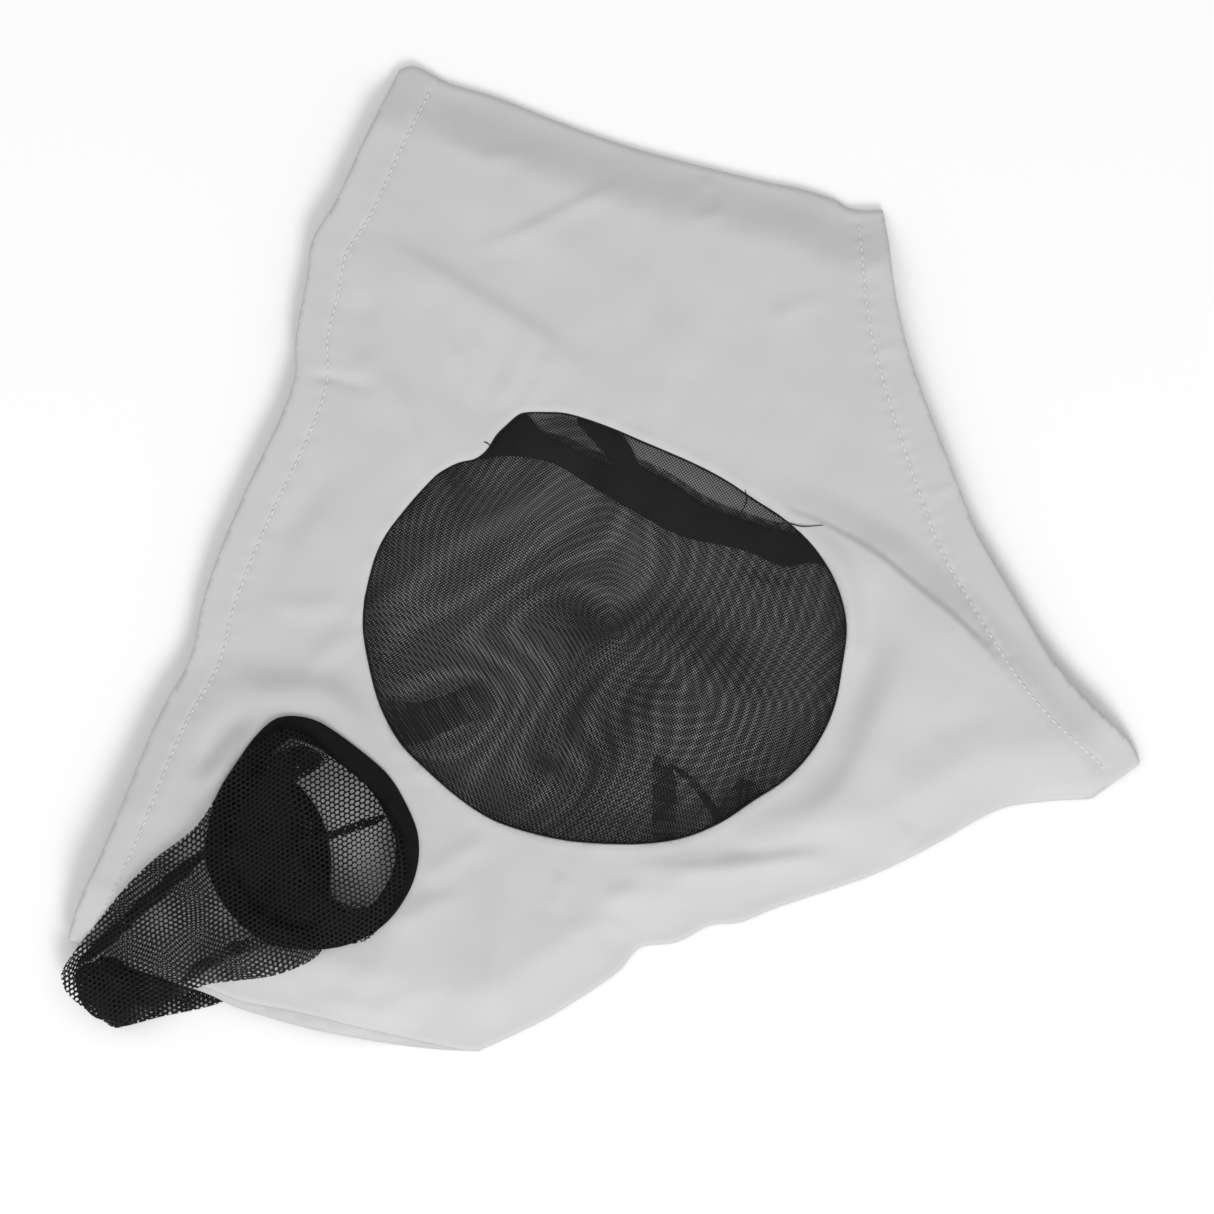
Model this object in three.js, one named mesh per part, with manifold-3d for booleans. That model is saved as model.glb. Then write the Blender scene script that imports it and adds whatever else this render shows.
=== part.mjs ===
// Horse fly mask with ear covers, lying on its off side as it comes out of its bag.
// Two stretch-knit side panels are sewn together under the jaw and along the topline.
// The neck and nose ends stay open. Each side has a large mesh eye panel and a net ear
// cover on a ribbed rim. "Near" is the upper side as it lies and "off" the lower one.
// Millimetres, +Z up. The origin is at the middle of the mask on the surface it lies on.
import * as THREE from "three";
import { mergeVertices } from "three/addons/utils/BufferGeometryUtils.js";
import Module from "manifold-3d";

const wasm = await Module();
wasm.setup();

// --- Driving dimensions: the pattern, laid flat ---
const neckWidth = 465; // straight across the neck opening
const noseWidth = 305; // straight across the nose opening
const jawLength = 251; // jaw seam, neck corner to nose corner
const neckLean = 20.8; // degrees that the neck opening leans from the Y axis
const jawFall = 16.2; // degrees that the jaw seam falls towards the nose
const noseLean = 25; // degrees that the nose opening leans from the Y axis
const noseTurn = 30; // short end of the nose hem, where the topline seam starts
const noseTurnAngle = 36; // degrees below the -X direction
const crownPlace = 0.623; // where the crown's corner stands along the topline
const crownDepth = 83; // how far the crown's corner stands out from it

// --- Driving dimensions: cloth and sewing ---
const knitThickness = 1.2;
const meshThickness = 0.7;
const rimThickness = 1.2;
const netThickness = 1.0;
const hemWidth = 17;
const hemThickness = 0.9;
const threadWidth = 0.9;
const threadThickness = 0.5;
const seamWidth = 6; // overlocked allowance inside the jaw and topline seams
const seamThickness = 2;
const clearance = 0.3; // between two layers that touch
const meshUnderlap = 6; // mesh sewn under the edge of its hole
const bindingWidth = 2;

// --- Driving dimensions: eye panels ---
const eyeWidth = 238;
const eyeHeight = 212;
const eyeFromEar = 9.4; // cloth between the eye hole and the ear rim
const eyeFromTopline = 11.7; // eye hole to the straight line between the topline's ends
const offEyeShift = new THREE.Vector2(6, -14); // where the off panel's eye has slid to

// --- Driving dimensions: ear covers ---
const earWidth = 106;
const earHeight = 115;
const earRimWidth = 12;
const earFromNeck = 42; // neck opening's straight line to the ear rim
const earFromTopline = 94; // ear centre to the topline corner, along that line
const earPocketDepth = 7; // off ear cover, pressed flat under the mask
const earLoft = 15; // near ear cover at its mouth
const earTipLoft = 7; // and at its tip
const earTipHalf = 21;
const earWaistHalf = 35;
const offEarShift = new THREE.Vector2(-26, -14);
const nearEarReach = new THREE.Vector2(-118, -82); // rim centre to the net's tip
const offEarReach = new THREE.Vector2(-79, -80);

// --- Driving dimensions: how the cloth lies ---
const loft = 11; // how far the near side stands over its seams
const loftSlope = 34; // how far in from a seam it reaches that
const mouthDrop = 3; // how much lower it hangs at the neck and nose
const mouthReach = 70;
const liftRoom = 24; // how far past its ear cover the off panel stays lifted
const liftSlope = 40; // and how far it then takes to come down

const cell = 24; // one grid for every layer, so that they lie evenly on each other

// --- Plan geometry ---
const degrees = THREE.MathUtils.degToRad;
const vec = (x, y) => new THREE.Vector2(x, y);
const heading = (angle, length) => vec(Math.cos(angle), Math.sin(angle)).multiplyScalar(length);

// An edge from a to b. Each bulge is [share of the way along, how far to its left in mm].
function edge(a, b, bulges, steps) {
  const along = b.clone().sub(a);
  const left = vec(-along.y, along.x).normalize();
  const knots = bulges.map(([share, out]) =>
    a.clone().addScaledVector(along, share).addScaledVector(left, out));
  return new THREE.SplineCurve([a, ...knots, b]).getPoints(steps);
}

const jawNeck = vec(0, 0);
const neckDown = heading(degrees(270 - neckLean), 1);
const neckIn = vec(-neckDown.y, neckDown.x);
const toplineNeck = neckDown.clone().multiplyScalar(neckWidth);
const jawNose = heading(degrees(-jawFall), jawLength);
const noseEnd = jawNose.clone().add(heading(degrees(noseLean - 90), noseWidth));
const toplineNose = noseEnd.clone().add(heading(degrees(180 + noseTurnAngle), noseTurn));
const toplineRun = toplineNeck.clone().sub(toplineNose);
const crownOut = vec(-toplineRun.y, toplineRun.x).normalize();
const crown = toplineNose.clone().addScaledVector(toplineRun, crownPlace)
  .addScaledVector(crownOut, crownDepth);

// The edges run anticlockwise seen from above, so "left" is into the cloth.
const neckEdge = edge(jawNeck, toplineNeck, [
  [0.08, -3.5], [0.155, -6], [0.205, -10], [0.245, -6], [0.31, -0.5], [0.35, 6], [0.4, 6.4],
  [0.47, 3.5], [0.54, 2], [0.61, 2.8], [0.67, 7], [0.745, 2.6], [0.88, 1], [0.96, -1.2],
], 30);
const nearBrow = edge(toplineNeck, crown, [
  [0.15, -2.7], [0.34, -4.4], [0.43, -6.4], [0.57, -4.3], [0.74, -3.7], [0.93, -2],
], 12);
const offBrow = edge(toplineNeck, crown, [
  [0.15, -4.6], [0.34, -7.2], [0.43, -10.3], [0.58, -11], [0.675, -10.1], [0.82, -7.4],
  [0.92, -4],
], 12);
const foreheadEdge = edge(crown, toplineNose, [
  [0.1, 1.6], [0.17, 5], [0.24, 10], [0.285, 17], [0.34, 12.6], [0.395, 14], [0.44, 9.7],
  [0.5, 9.5], [0.63, 6.7], [0.7, 7], [0.765, 9.1], [0.86, 12.8], [0.925, 8.5],
], 26);
const noseTurnEdge = [toplineNose, noseEnd];
const noseEdge = edge(noseEnd, jawNose, [
  [0.042, 0.6], [0.13, 11], [0.21, 18], [0.29, 21], [0.37, 23.4], [0.45, 25.8], [0.55, 24],
  [0.65, 22.2], [0.76, 19], [0.86, 12.7], [0.95, 4],
], 20);
const jawEdge = edge(jawNose, jawNeck, [
  [0.035, 3], [0.07, 3.9], [0.1, 1.9], [0.17, 1.5], [0.26, 3.3], [0.46, 5.1], [0.57, 4.8],
  [0.665, 3.2], [0.8, 0], [0.9, -0.3], [0.97, -3.5],
], 18);

const joined = (...edges) => edges.flatMap((points) => points.slice(0, -1));
const nearOutline = joined(neckEdge, nearBrow, foreheadEdge, noseTurnEdge, noseEdge, jawEdge);
const offOutline = joined(neckEdge, offBrow, foreheadEdge, noseTurnEdge, noseEdge, jawEdge);
const toplineSeam = [...joined(nearBrow, foreheadEdge, noseTurnEdge), noseEnd];

const ellipse = (centre, width, height, steps = 32) =>
  new THREE.EllipseCurve(centre.x, centre.y, width / 2, height / 2).getPoints(steps).slice(0, -1);

// The eye hole: straight across the brow where the cloth pulls, round everywhere else.
const eyeShape = [
  [1, 0], [0.91, 0.33], [0.78, 0.5], [0.48, 0.72], [0.17, 0.87], [-0.09, 1], [-0.34, 1],
  [-0.49, 0.86], [-0.6, 0.77], [-0.79, 0.62], [-0.93, 0.42], [-1, 0.1], [-0.95, -0.36],
  [-0.82, -0.6], [-0.5, -0.86], [-0.09, -1], [0.25, -1], [0.53, -0.88], [0.84, -0.63],
  [0.97, -0.26],
];
function eyeOutline(centre, grow) {
  const points = eyeShape.map(([x, y]) => new THREE.Vector3(
    centre.x + x * (eyeWidth / 2 + grow), centre.y + y * (eyeHeight / 2 + grow), 0));
  const curve = new THREE.CatmullRomCurve3(points, true, "catmullrom", 0.5);
  return curve.getPoints(44).slice(0, -1).map((p) => vec(p.x, p.y));
}
const nearEar = toplineNeck.clone().addScaledVector(neckDown, -earFromTopline)
  .addScaledVector(neckIn, earFromNeck + earWidth / 2);
const toplineOn = toplineRun.clone().normalize().negate();
const toplineIn = crownOut.clone().negate();
const earRise = nearEar.clone().sub(toplineNeck).dot(toplineIn);
const eyeRise = eyeFromTopline + eyeHeight / 2 - earRise;
const earToEye = eyeFromEar + (eyeWidth + eyeHeight + earWidth + earHeight) / 4;
const nearEye = nearEar.clone().addScaledVector(toplineIn, eyeRise)
  .addScaledVector(toplineOn, Math.sqrt(earToEye ** 2 - eyeRise ** 2));
const offEye = nearEye.clone().add(offEyeShift);
const offEar = nearEar.clone().add(offEarShift);

// The plan of an ear cover: its round mouth, drawn in to a waist and out to a blunt tip.
function earPlan(centre, reach, inset) {
  const out = reach.clone().normalize();
  const side = vec(-out.y, out.x);
  const half = (earWidth + earHeight) / 4 - inset;
  const waist = earWaistHalf - inset;
  const tip = earTipHalf - inset;
  const end = reach.length() - inset;
  const oneSide = [
    [-half * 0.7, half * 0.68], [-half * 0.1, half * 0.97], [end * 0.2, half * 0.88],
    [end * 0.5, waist * 1.1], [end * 0.7, waist * 0.9], [end * 0.92, tip * 1.1],
    [end * 0.99, tip * 0.6],
  ];
  const flipped = oneSide.map(([along, across]) => [along, -across]).reverse();
  const knots = [[-half, 0], ...oneSide, [end, 0], ...flipped].map(([along, across]) =>
    new THREE.Vector3().copy(centre).setZ(0)
      .addScaledVector(new THREE.Vector3(out.x, out.y, 0), along)
      .addScaledVector(new THREE.Vector3(side.x, side.y, 0), across));
  const curve = new THREE.CatmullRomCurve3(knots, true, "catmullrom", 0.5);
  return curve.getPoints(32).slice(0, -1).map((p) => vec(p.x, p.y));
}
const nearEarPlan = earPlan(nearEar, nearEarReach, 0);
const offEarPlan = earPlan(offEar, offEarReach, 0);

// --- Heights ---
const smooth = (t) => THREE.MathUtils.smoothstep(t, 0, 1);

function distanceTo(points, p, closed) {
  let nearest = Infinity;
  const last = points.length - (closed ? 0 : 1);
  for (let i = 0; i < last; i++) {
    const a = points[i];
    const run = points[(i + 1) % points.length].clone().sub(a);
    const t = THREE.MathUtils.clamp(p.clone().sub(a).dot(run) / Math.max(run.lengthSq(), 1e-9), 0, 1);
    nearest = Math.min(nearest, a.clone().addScaledVector(run, t).distanceTo(p));
  }
  return nearest;
}
function inside(points, p) {
  let within = false;
  points.forEach((a, i) => {
    const b = points[(i + 1) % points.length];
    if (a.y > p.y !== b.y > p.y && p.x < ((b.x - a.x) * (p.y - a.y)) / (b.y - a.y) + a.x) {
      within = !within;
    }
  });
  return within;
}

// The off panel lies on the surface, and is lifted where its own ear cover lies under it.
const earStack = earPocketDepth + rimThickness + 2 * clearance;
function ground(x, y) {
  const p = vec(x, y);
  const away = inside(offEarPlan, p) ? 0 : distanceTo(offEarPlan, p, true);
  return earStack * (1 - smooth((away - liftRoom) / liftSlope));
}
// The underside of the near panel: low along the seams and full between them.
const seamStack = knitThickness + seamThickness + 2 * clearance;
function nearUnderside(x, y) {
  const p = vec(x, y);
  const fromMouth = Math.min(distanceTo(neckEdge, p), distanceTo(noseEdge, p));
  const toSeam = Math.min(distanceTo(jawEdge, p), distanceTo(toplineSeam, p));
  const pastSeam = toSeam < fromMouth && !inside(nearOutline, p);
  const fromSeam = pastSeam ? 0 : toSeam;
  const full = loft - mouthDrop * (1 - smooth(fromMouth / mouthReach));
  return ground(x, y) + seamStack + full * smooth(fromSeam / loftSlope);
}

// --- Solids ---
function asSolid(geometry) {
  geometry.deleteAttribute("normal");
  geometry.deleteAttribute("uv");
  const merged = mergeVertices(geometry, 1e-4);
  return new wasm.Manifold(new wasm.Mesh({
    numProp: 3,
    vertProperties: merged.attributes.position.array,
    triVerts: new Uint32Array(merged.index.array),
  }));
}
function asGeometry(solid) {
  const mesh = solid.getMesh();
  const geometry = new THREE.BufferGeometry();
  geometry.setAttribute("position", new THREE.BufferAttribute(mesh.vertProperties, 3));
  geometry.setIndex(new THREE.BufferAttribute(mesh.triVerts, 1));
  return geometry;
}

// Everything that stands over a flat plan with holes in it.
const column = { base: -40, top: 120 };
function prism(plan, holes = []) {
  const shape = new THREE.Shape(plan);
  shape.holes = holes.map((hole) => new THREE.Path(hole));
  const depth = column.top - column.base;
  const geometry = new THREE.ExtrudeGeometry(shape, { depth, bevelEnabled: false });
  return asSolid(geometry.translate(0, 0, column.base));
}
// A solid between two height functions, over the grid cells that the plan touches. Both of
// its faces split their cells along the same diagonal, so layers nest without crossing.
function between(plan, under, over) {
  const box = new THREE.Box2().setFromPoints(plan).expandByScalar(1);
  const low = box.min.divideScalar(cell).floor();
  const high = box.max.divideScalar(cell).ceil();
  const count = high.clone().sub(low);
  const centre = high.add(low).multiplyScalar(cell / 2);
  const geometry = new THREE.BoxGeometry(count.x * cell, count.y * cell, 2, count.x, count.y, 1)
    .translate(centre.x, centre.y, 0);
  const place = geometry.attributes.position;
  for (let i = 0; i < place.count; i++) {
    const height = place.getZ(i) > 0 ? over : under;
    place.setZ(i, height(place.getX(i), place.getY(i)));
  }
  const bottom = geometry.groups[5];
  const index = geometry.index.array;
  for (let i = bottom.start; i < bottom.start + bottom.count; i += 6) {
    const [a, b, d, , c] = index.slice(i, i + 6);
    index.set([a, b, c, a, c, d], i);
  }
  return asSolid(geometry);
}
// A cloth layer of even thickness over a plan, its underside at a height function.
function layer(plan, holes, under, thickness) {
  const over = (x, y) => under(x, y) + thickness;
  return between(plan, under, over).intersect(prism(plan, holes));
}
const raised = (height, by) => (x, y) => height(x, y) + by;

// A strip along a run of points, from one distance inside it to another.
function strip(points, from, to) {
  const shifted = (by) => points.map((p, i) => {
    const before = points[Math.max(i - 1, 0)];
    const after = points[Math.min(i + 1, points.length - 1)];
    const run = after.clone().sub(before).normalize();
    return p.clone().addScaledVector(vec(-run.y, run.x), by);
  });
  return [...shifted(from), ...shifted(to).reverse()];
}

// --- Materials ---
const cloth = (color, roughness) =>
  new THREE.MeshStandardMaterial({ color, roughness, metalness: 0 });
const greyKnit = cloth(0xcbcacb, 0.85);
const greyThread = cloth(0xdad9d9, 0.7);
const blackMesh = cloth(0x242424, 0.7);
const blackNet = cloth(0x1e1e1e, 0.75);
const blackRib = cloth(0x1b1b1b, 0.85);
const blackThread = cloth(0x161616, 0.6);

const mask = new THREE.Group();
function add(name, solid, material) {
  const mesh = new THREE.Mesh(asGeometry(solid), material);
  mesh.name = name;
  mask.add(mesh);
}

// --- Side panels, with their eye and ear holes ---
const earHole = (centre) => ellipse(centre, earWidth - earRimWidth, earHeight - earRimWidth);
const nearOver = raised(nearUnderside, knitThickness + clearance);
const offOver = raised(ground, knitThickness + clearance);
add("near_side_panel",
  layer(nearOutline, [eyeOutline(nearEye, 0), earHole(nearEar)], nearUnderside, knitThickness),
  greyKnit);
add("off_side_panel",
  layer(offOutline, [eyeOutline(offEye, 0), earHole(offEar)], ground, knitThickness), greyKnit);

// --- Eye panels: the mesh is sewn inside its hole, and a black binding edges the hole ---
const meshUnder = raised(nearUnderside, -clearance - meshThickness);
add("near_eye_mesh",
  layer(eyeOutline(nearEye, meshUnderlap), [], meshUnder, meshThickness), blackMesh);
add("off_eye_mesh",
  layer(eyeOutline(offEye, meshUnderlap), [], offOver, meshThickness), blackMesh);
const bindingPlan = (centre) => eyeOutline(centre, -clearance);
const bindingHole = (centre) => [eyeOutline(centre, -clearance - bindingWidth)];
add("near_eye_binding",
  layer(bindingPlan(nearEye), bindingHole(nearEye), nearUnderside, knitThickness), blackThread);
add("off_eye_binding",
  layer(bindingPlan(offEye), bindingHole(offEye), ground, knitThickness), blackThread);

// --- Seams that close the jaw and the topline, kept inside both panels ---
const seamInset = 0.5;
const bothPanels = () => prism(nearOutline).intersect(prism(offOutline));
function seam(points) {
  const plan = strip(points, seamInset, seamInset + seamWidth);
  return layer(plan, [], offOver, seamThickness).intersect(bothPanels());
}
add("jaw_seam", seam(jawEdge), greyThread);
add("topline_seam", seam(toplineSeam), greyThread);

// --- Hems: the turned allowance inside each panel, and the stitching that holds it ---
const seamZones = [jawEdge, toplineSeam].map((points) =>
  prism(strip(points, -hemWidth, seamInset + seamWidth + 1)));
function onePiece(solid) {
  const pieces = solid.decompose();
  return pieces.sort((a, b) => b.volume() - a.volume())[0];
}
function hem(points, under, thickness, from, to) {
  const flat = layer(strip(points, from, to), [], under, thickness);
  const trimmed = seamZones.reduce((left, zone) => left.subtract(zone), flat);
  return onePiece(trimmed.intersect(bothPanels()));
}
const threadLine = [hemWidth - threadWidth, hemWidth];
const hemEdge = 0.4;
const hemUnder = raised(nearUnderside, -clearance - hemThickness);
const hemOver = raised(ground, knitThickness + hemThickness + 2 * clearance);
[["neck", neckEdge], ["nose", noseEdge]].forEach(([end, points]) => {
  add(`near_${end}_hem`, hem(points, hemUnder, hemThickness, hemEdge, hemWidth), greyKnit);
  add(`off_${end}_hem`, hem(points, offOver, hemThickness, hemEdge, hemWidth), greyKnit);
  add(`near_${end}_stitching`, hem(points, nearOver, threadThickness, ...threadLine), greyThread);
  add(`off_${end}_stitching`, hem(points, hemOver, threadThickness, ...threadLine), greyThread);
});

// --- Ear rims ---
const rimPlan = (centre) => ellipse(centre, earWidth, earHeight);
const rimHole = (centre) =>
  ellipse(centre, earWidth - 2 * earRimWidth, earHeight - 2 * earRimWidth);
add("near_ear_rim",
  layer(rimPlan(nearEar), [rimHole(nearEar)], nearOver, rimThickness), blackRib);
const offRimUnder = raised(ground, -clearance - rimThickness);
add("off_ear_rim",
  layer(rimPlan(offEar), [rimHole(offEar)], offRimUnder, rimThickness), blackRib);

// --- Ear covers: net pockets, open through the rim into the mask ---
function pocket(centre, reach, under, over, mouthUp) {
  const plan = earPlan(centre, reach, 0);
  const hollowPlan = earPlan(centre, reach, netThickness);
  const mouth = rimHole(centre);
  const inner = between(hollowPlan, raised(under, netThickness), raised(over, -netThickness));
  const middle = (x, y) => (under(x, y) + over(x, y)) / 2;
  const way = mouthUp ? between(mouth, middle, raised(over, 2))
    : between(mouth, raised(under, -2), middle);
  return between(plan, under, over).intersect(prism(plan))
    .subtract(inner.intersect(prism(hollowPlan)))
    .subtract(way.intersect(prism(mouth)));
}
const nearNetUnder = raised(nearUnderside, knitThickness + rimThickness + 2 * clearance);
function nearNetOver(x, y) {
  const along = vec(x, y).sub(nearEar).dot(nearEarReach) / nearEarReach.lengthSq();
  const toTip = THREE.MathUtils.clamp(along, 0, 1);
  return nearNetUnder(x, y) + THREE.MathUtils.lerp(earLoft, earTipLoft, toTip);
}
add("near_ear_net", pocket(nearEar, nearEarReach, nearNetUnder, nearNetOver, false), blackNet);
const offNetUnder = raised(ground, -earStack);
const offNetOver = raised(ground, -clearance - rimThickness - clearance);
add("off_ear_net", pocket(offEar, offEarReach, offNetUnder, offNetOver, true), blackNet);

// The origin is the middle of everything in plan, on the surface below.
const extent = new THREE.Box3().setFromObject(mask);
const middle = extent.getCenter(new THREE.Vector3());
mask.position.set(-middle.x, -middle.y, -extent.min.z);

export default mask;
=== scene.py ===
"""Looks for a horse fly mask with ear covers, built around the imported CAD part.

It lies on its off side. The neck opening is at -X, the nose opening at +X, the jaw seam at
+Y and the topline seam at -Y. Lengths are in millimetres until add_mesh() makes metres.
"""
import math

import bmesh
import bpy
import numpy as np
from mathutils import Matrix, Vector
from mathutils.geometry import delaunay_2d_cdt


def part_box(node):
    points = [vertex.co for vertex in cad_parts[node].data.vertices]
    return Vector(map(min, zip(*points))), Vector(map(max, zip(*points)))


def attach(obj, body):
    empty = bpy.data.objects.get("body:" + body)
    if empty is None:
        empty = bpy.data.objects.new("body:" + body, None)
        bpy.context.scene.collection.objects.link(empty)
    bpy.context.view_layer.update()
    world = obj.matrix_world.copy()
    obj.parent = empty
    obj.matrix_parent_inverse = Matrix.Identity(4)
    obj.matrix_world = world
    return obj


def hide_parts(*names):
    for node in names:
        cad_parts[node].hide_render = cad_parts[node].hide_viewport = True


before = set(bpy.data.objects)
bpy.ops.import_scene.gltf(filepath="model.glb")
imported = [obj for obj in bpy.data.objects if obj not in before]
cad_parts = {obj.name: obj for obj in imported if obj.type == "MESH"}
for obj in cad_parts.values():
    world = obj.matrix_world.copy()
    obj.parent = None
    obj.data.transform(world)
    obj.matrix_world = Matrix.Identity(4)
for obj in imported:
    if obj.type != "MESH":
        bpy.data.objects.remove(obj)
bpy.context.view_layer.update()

MM = 0.001
scene = bpy.context.scene
scene.view_settings.view_transform = "Standard"


def aim(obj, place, target):
    obj.location = Vector(place)
    way = Vector(target) - Vector(place)
    obj.rotation_euler = way.to_track_quat("-Z", "Y").to_euler()
    scene.collection.objects.link(obj)


# --- Camera, straight above, and soft studio light ---
VIEW_CENTRE = (0.0023, -0.0241)
VIEW_SIZE = 0.607
LENS, SENSOR = 180.0, 36.0
camera = bpy.data.objects.new("camera", bpy.data.cameras.new("camera"))
camera.data.lens = LENS
camera.data.sensor_width = SENSOR
camera.data.clip_end = 50
camera.location = (*VIEW_CENTRE, VIEW_SIZE * LENS / SENSOR)
scene.collection.objects.link(camera)
scene.camera = camera

world = bpy.data.worlds.new("studio")
world.use_nodes = True
world.node_tree.nodes["Background"].inputs["Color"].default_value = (1, 1, 1, 1)
world.node_tree.nodes["Background"].inputs["Strength"].default_value = 0.64
scene.world = world


def area_light(name, place, size, power):
    data = bpy.data.lights.new(name, "AREA")
    data.shape = "DISK"
    data.size = size
    data.energy = power
    aim(bpy.data.objects.new(name, data), place, (0, 0, 0))


area_light("key", (0.85, -3.1, 2.5), 1.8, 88)
area_light("fill", (-2.4, 1.0, 3.0), 2.6, 20)

# --- Small geometry helpers, on arrays of plan points ---


def smooth(t):
    t = np.clip(t, 0, 1)
    return t * t * (3 - 2 * t)


def heading(degrees):
    a = math.radians(degrees)
    return np.array([math.cos(a), math.sin(a)])


def spline(knots, per=8, closed=False):
    """A uniform Catmull-Rom curve through the knots."""
    k = np.asarray(knots, float)
    n = len(k)
    spans = n if closed else n - 1
    t = np.arange(spans * per + (0 if closed else 1)) / per
    i = np.minimum(t.astype(int), spans - 1)
    w = (t - i)[:, None]
    pick = (lambda j: k[j % n]) if closed else (lambda j: k[np.clip(j, 0, n - 1)])
    p0, p1, p2, p3 = pick(i - 1), pick(i), pick(i + 1), pick(i + 2)
    v0, v1 = (p2 - p0) / 2, (p3 - p1) / 2
    return ((2 * p1 - 2 * p2 + v0 + v1) * w**3 + (3 * p2 - 3 * p1 - 2 * v0 - v1) * w**2
            + v0 * w + p1)


def resample(line, step, closed=False):
    """Points about a step apart along a line."""
    p = np.vstack([line, line[:1]]) if closed else np.asarray(line, float)
    s = np.concatenate([[0], np.cumsum(np.linalg.norm(np.diff(p, axis=0), axis=1))])
    count = max(2, int(round(s[-1] / step)))
    at = np.linspace(0, s[-1], count + 1)[: count if closed else count + 1]
    return np.stack([np.interp(at, s, p[:, c]) for c in range(p.shape[1])], axis=1)


def normals(line, closed=False):
    """Unit normals to the left of a line."""
    if closed:
        run = np.roll(line, -1, 0) - np.roll(line, 1, 0)
    else:
        run = np.gradient(line, axis=0)
    run = run / np.maximum(np.linalg.norm(run, axis=1), 1e-9)[:, None]
    return np.stack([-run[:, 1], run[:, 0]], axis=1)


def closed_line(loop):
    return np.vstack([loop, loop[:1]])


def beside(P, line, chunk=4000):
    """For each point: distance to a line, side (+1 left, -1 right), share along it."""
    a, run = line[:-1], np.diff(line, axis=0)
    sq = np.maximum((run**2).sum(1), 1e-12)
    size = np.sqrt(sq)
    start = np.concatenate([[0], np.cumsum(size)[:-1]])
    out = []
    for i in range(0, len(P), chunk):
        rel = P[i:i + chunk, None] - a[None]
        t = np.clip((rel * run).sum(2) / sq, 0, 1)
        d2 = ((rel - t[..., None] * run) ** 2).sum(2)
        k = d2.argmin(1)
        r = np.arange(len(k))
        side = np.where(run[k, 0] * rel[r, k, 1] - run[k, 1] * rel[r, k, 0] > 0, 1.0, -1.0)
        out.append(np.stack([np.sqrt(d2[r, k]), side, (start[k] + t[r, k] * size[k]) / size.sum()]))
    return np.concatenate(out, axis=1) if out else np.zeros((3, 0))


def inside(P, loop, chunk=4000):
    a, b = loop, np.roll(loop, -1, 0)
    out = []
    for i in range(0, len(P), chunk):
        x, y = P[i:i + chunk, 0:1], P[i:i + chunk, 1:2]
        rises = (a[:, 1] > y) != (b[:, 1] > y)
        cross = a[:, 0] + (b[:, 0] - a[:, 0]) * (y - a[:, 1]) / np.where(
            b[:, 1] == a[:, 1], 1e-12, b[:, 1] - a[:, 1])
        out.append((rises & (x < cross)).sum(1) % 2 == 1)
    return np.concatenate(out) if out else np.zeros(0, bool)


def waves(P, seed, length, count=24):
    """Smooth random waves of about one millimetre from trough to crest."""
    r = np.random.default_rng(seed)
    angle, phase = r.uniform(0, 2 * math.pi, (2, count))
    k = 2 * math.pi / (length * r.uniform(0.7, 1.6, count))
    turn = P[:, 0:1] * np.cos(angle) + P[:, 1:2] * np.sin(angle)
    return np.cos(turn * k + phase).sum(1) / math.sqrt(count)


# --- The pattern, laid flat: the same outlines as the CAD part ---
NECK_WIDTH, NOSE_WIDTH, JAW_LENGTH = 465.0, 305.0, 251.0
NECK_LEAN, JAW_FALL, NOSE_LEAN = 20.8, 16.2, 25.0
NOSE_TURN, NOSE_TURN_ANGLE = 30.0, 36.0
CROWN_PLACE, CROWN_DEPTH = 0.623, 83.0


def edge(a, b, bulges):
    along = b - a
    left = np.array([-along[1], along[0]]) / np.linalg.norm(along)
    return spline([a, *[a + along * share + left * out for share, out in bulges], b])


jaw_neck = np.zeros(2)
topline_neck = heading(270 - NECK_LEAN) * NECK_WIDTH
jaw_nose = heading(-JAW_FALL) * JAW_LENGTH
nose_end = jaw_nose + heading(NOSE_LEAN - 90) * NOSE_WIDTH
topline_nose = nose_end + heading(180 + NOSE_TURN_ANGLE) * NOSE_TURN
topline_run = topline_neck - topline_nose
crown_out = np.array([-topline_run[1], topline_run[0]]) / np.linalg.norm(topline_run)
crown = topline_nose + topline_run * CROWN_PLACE + crown_out * CROWN_DEPTH

neck_edge = edge(jaw_neck, topline_neck, [
    (0.08, -3.5), (0.155, -6), (0.205, -10), (0.245, -6), (0.31, -0.5), (0.35, 6), (0.4, 6.4),
    (0.47, 3.5), (0.54, 2), (0.61, 2.8), (0.67, 7), (0.745, 2.6), (0.88, 1), (0.96, -1.2)])
near_brow = edge(topline_neck, crown, [
    (0.15, -2.7), (0.34, -4.4), (0.43, -6.4), (0.57, -4.3), (0.74, -3.7), (0.93, -2)])
off_brow = edge(topline_neck, crown, [
    (0.15, -4.6), (0.34, -7.2), (0.43, -10.3), (0.58, -11), (0.675, -10.1), (0.82, -7.4),
    (0.92, -4)])
forehead = edge(crown, topline_nose, [
    (0.1, 1.6), (0.17, 5), (0.24, 10), (0.285, 17), (0.34, 12.6), (0.395, 14), (0.44, 9.7),
    (0.5, 9.5), (0.63, 6.7), (0.7, 7), (0.765, 9.1), (0.86, 12.8), (0.925, 8.5)])
nose_edge = edge(nose_end, jaw_nose, [
    (0.042, 0.6), (0.13, 11), (0.21, 18), (0.29, 21), (0.37, 23.4), (0.45, 25.8), (0.55, 24),
    (0.65, 22.2), (0.76, 19), (0.86, 12.7), (0.95, 4)])
jaw_edge = edge(jaw_nose, jaw_neck, [
    (0.035, 3), (0.07, 3.9), (0.1, 1.9), (0.17, 1.5), (0.26, 3.3), (0.46, 5.1), (0.57, 4.8),
    (0.665, 3.2), (0.8, 0), (0.9, -0.3), (0.97, -3.5)])


def joined(*edges):
    return np.vstack([e[:-1] for e in edges])


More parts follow.
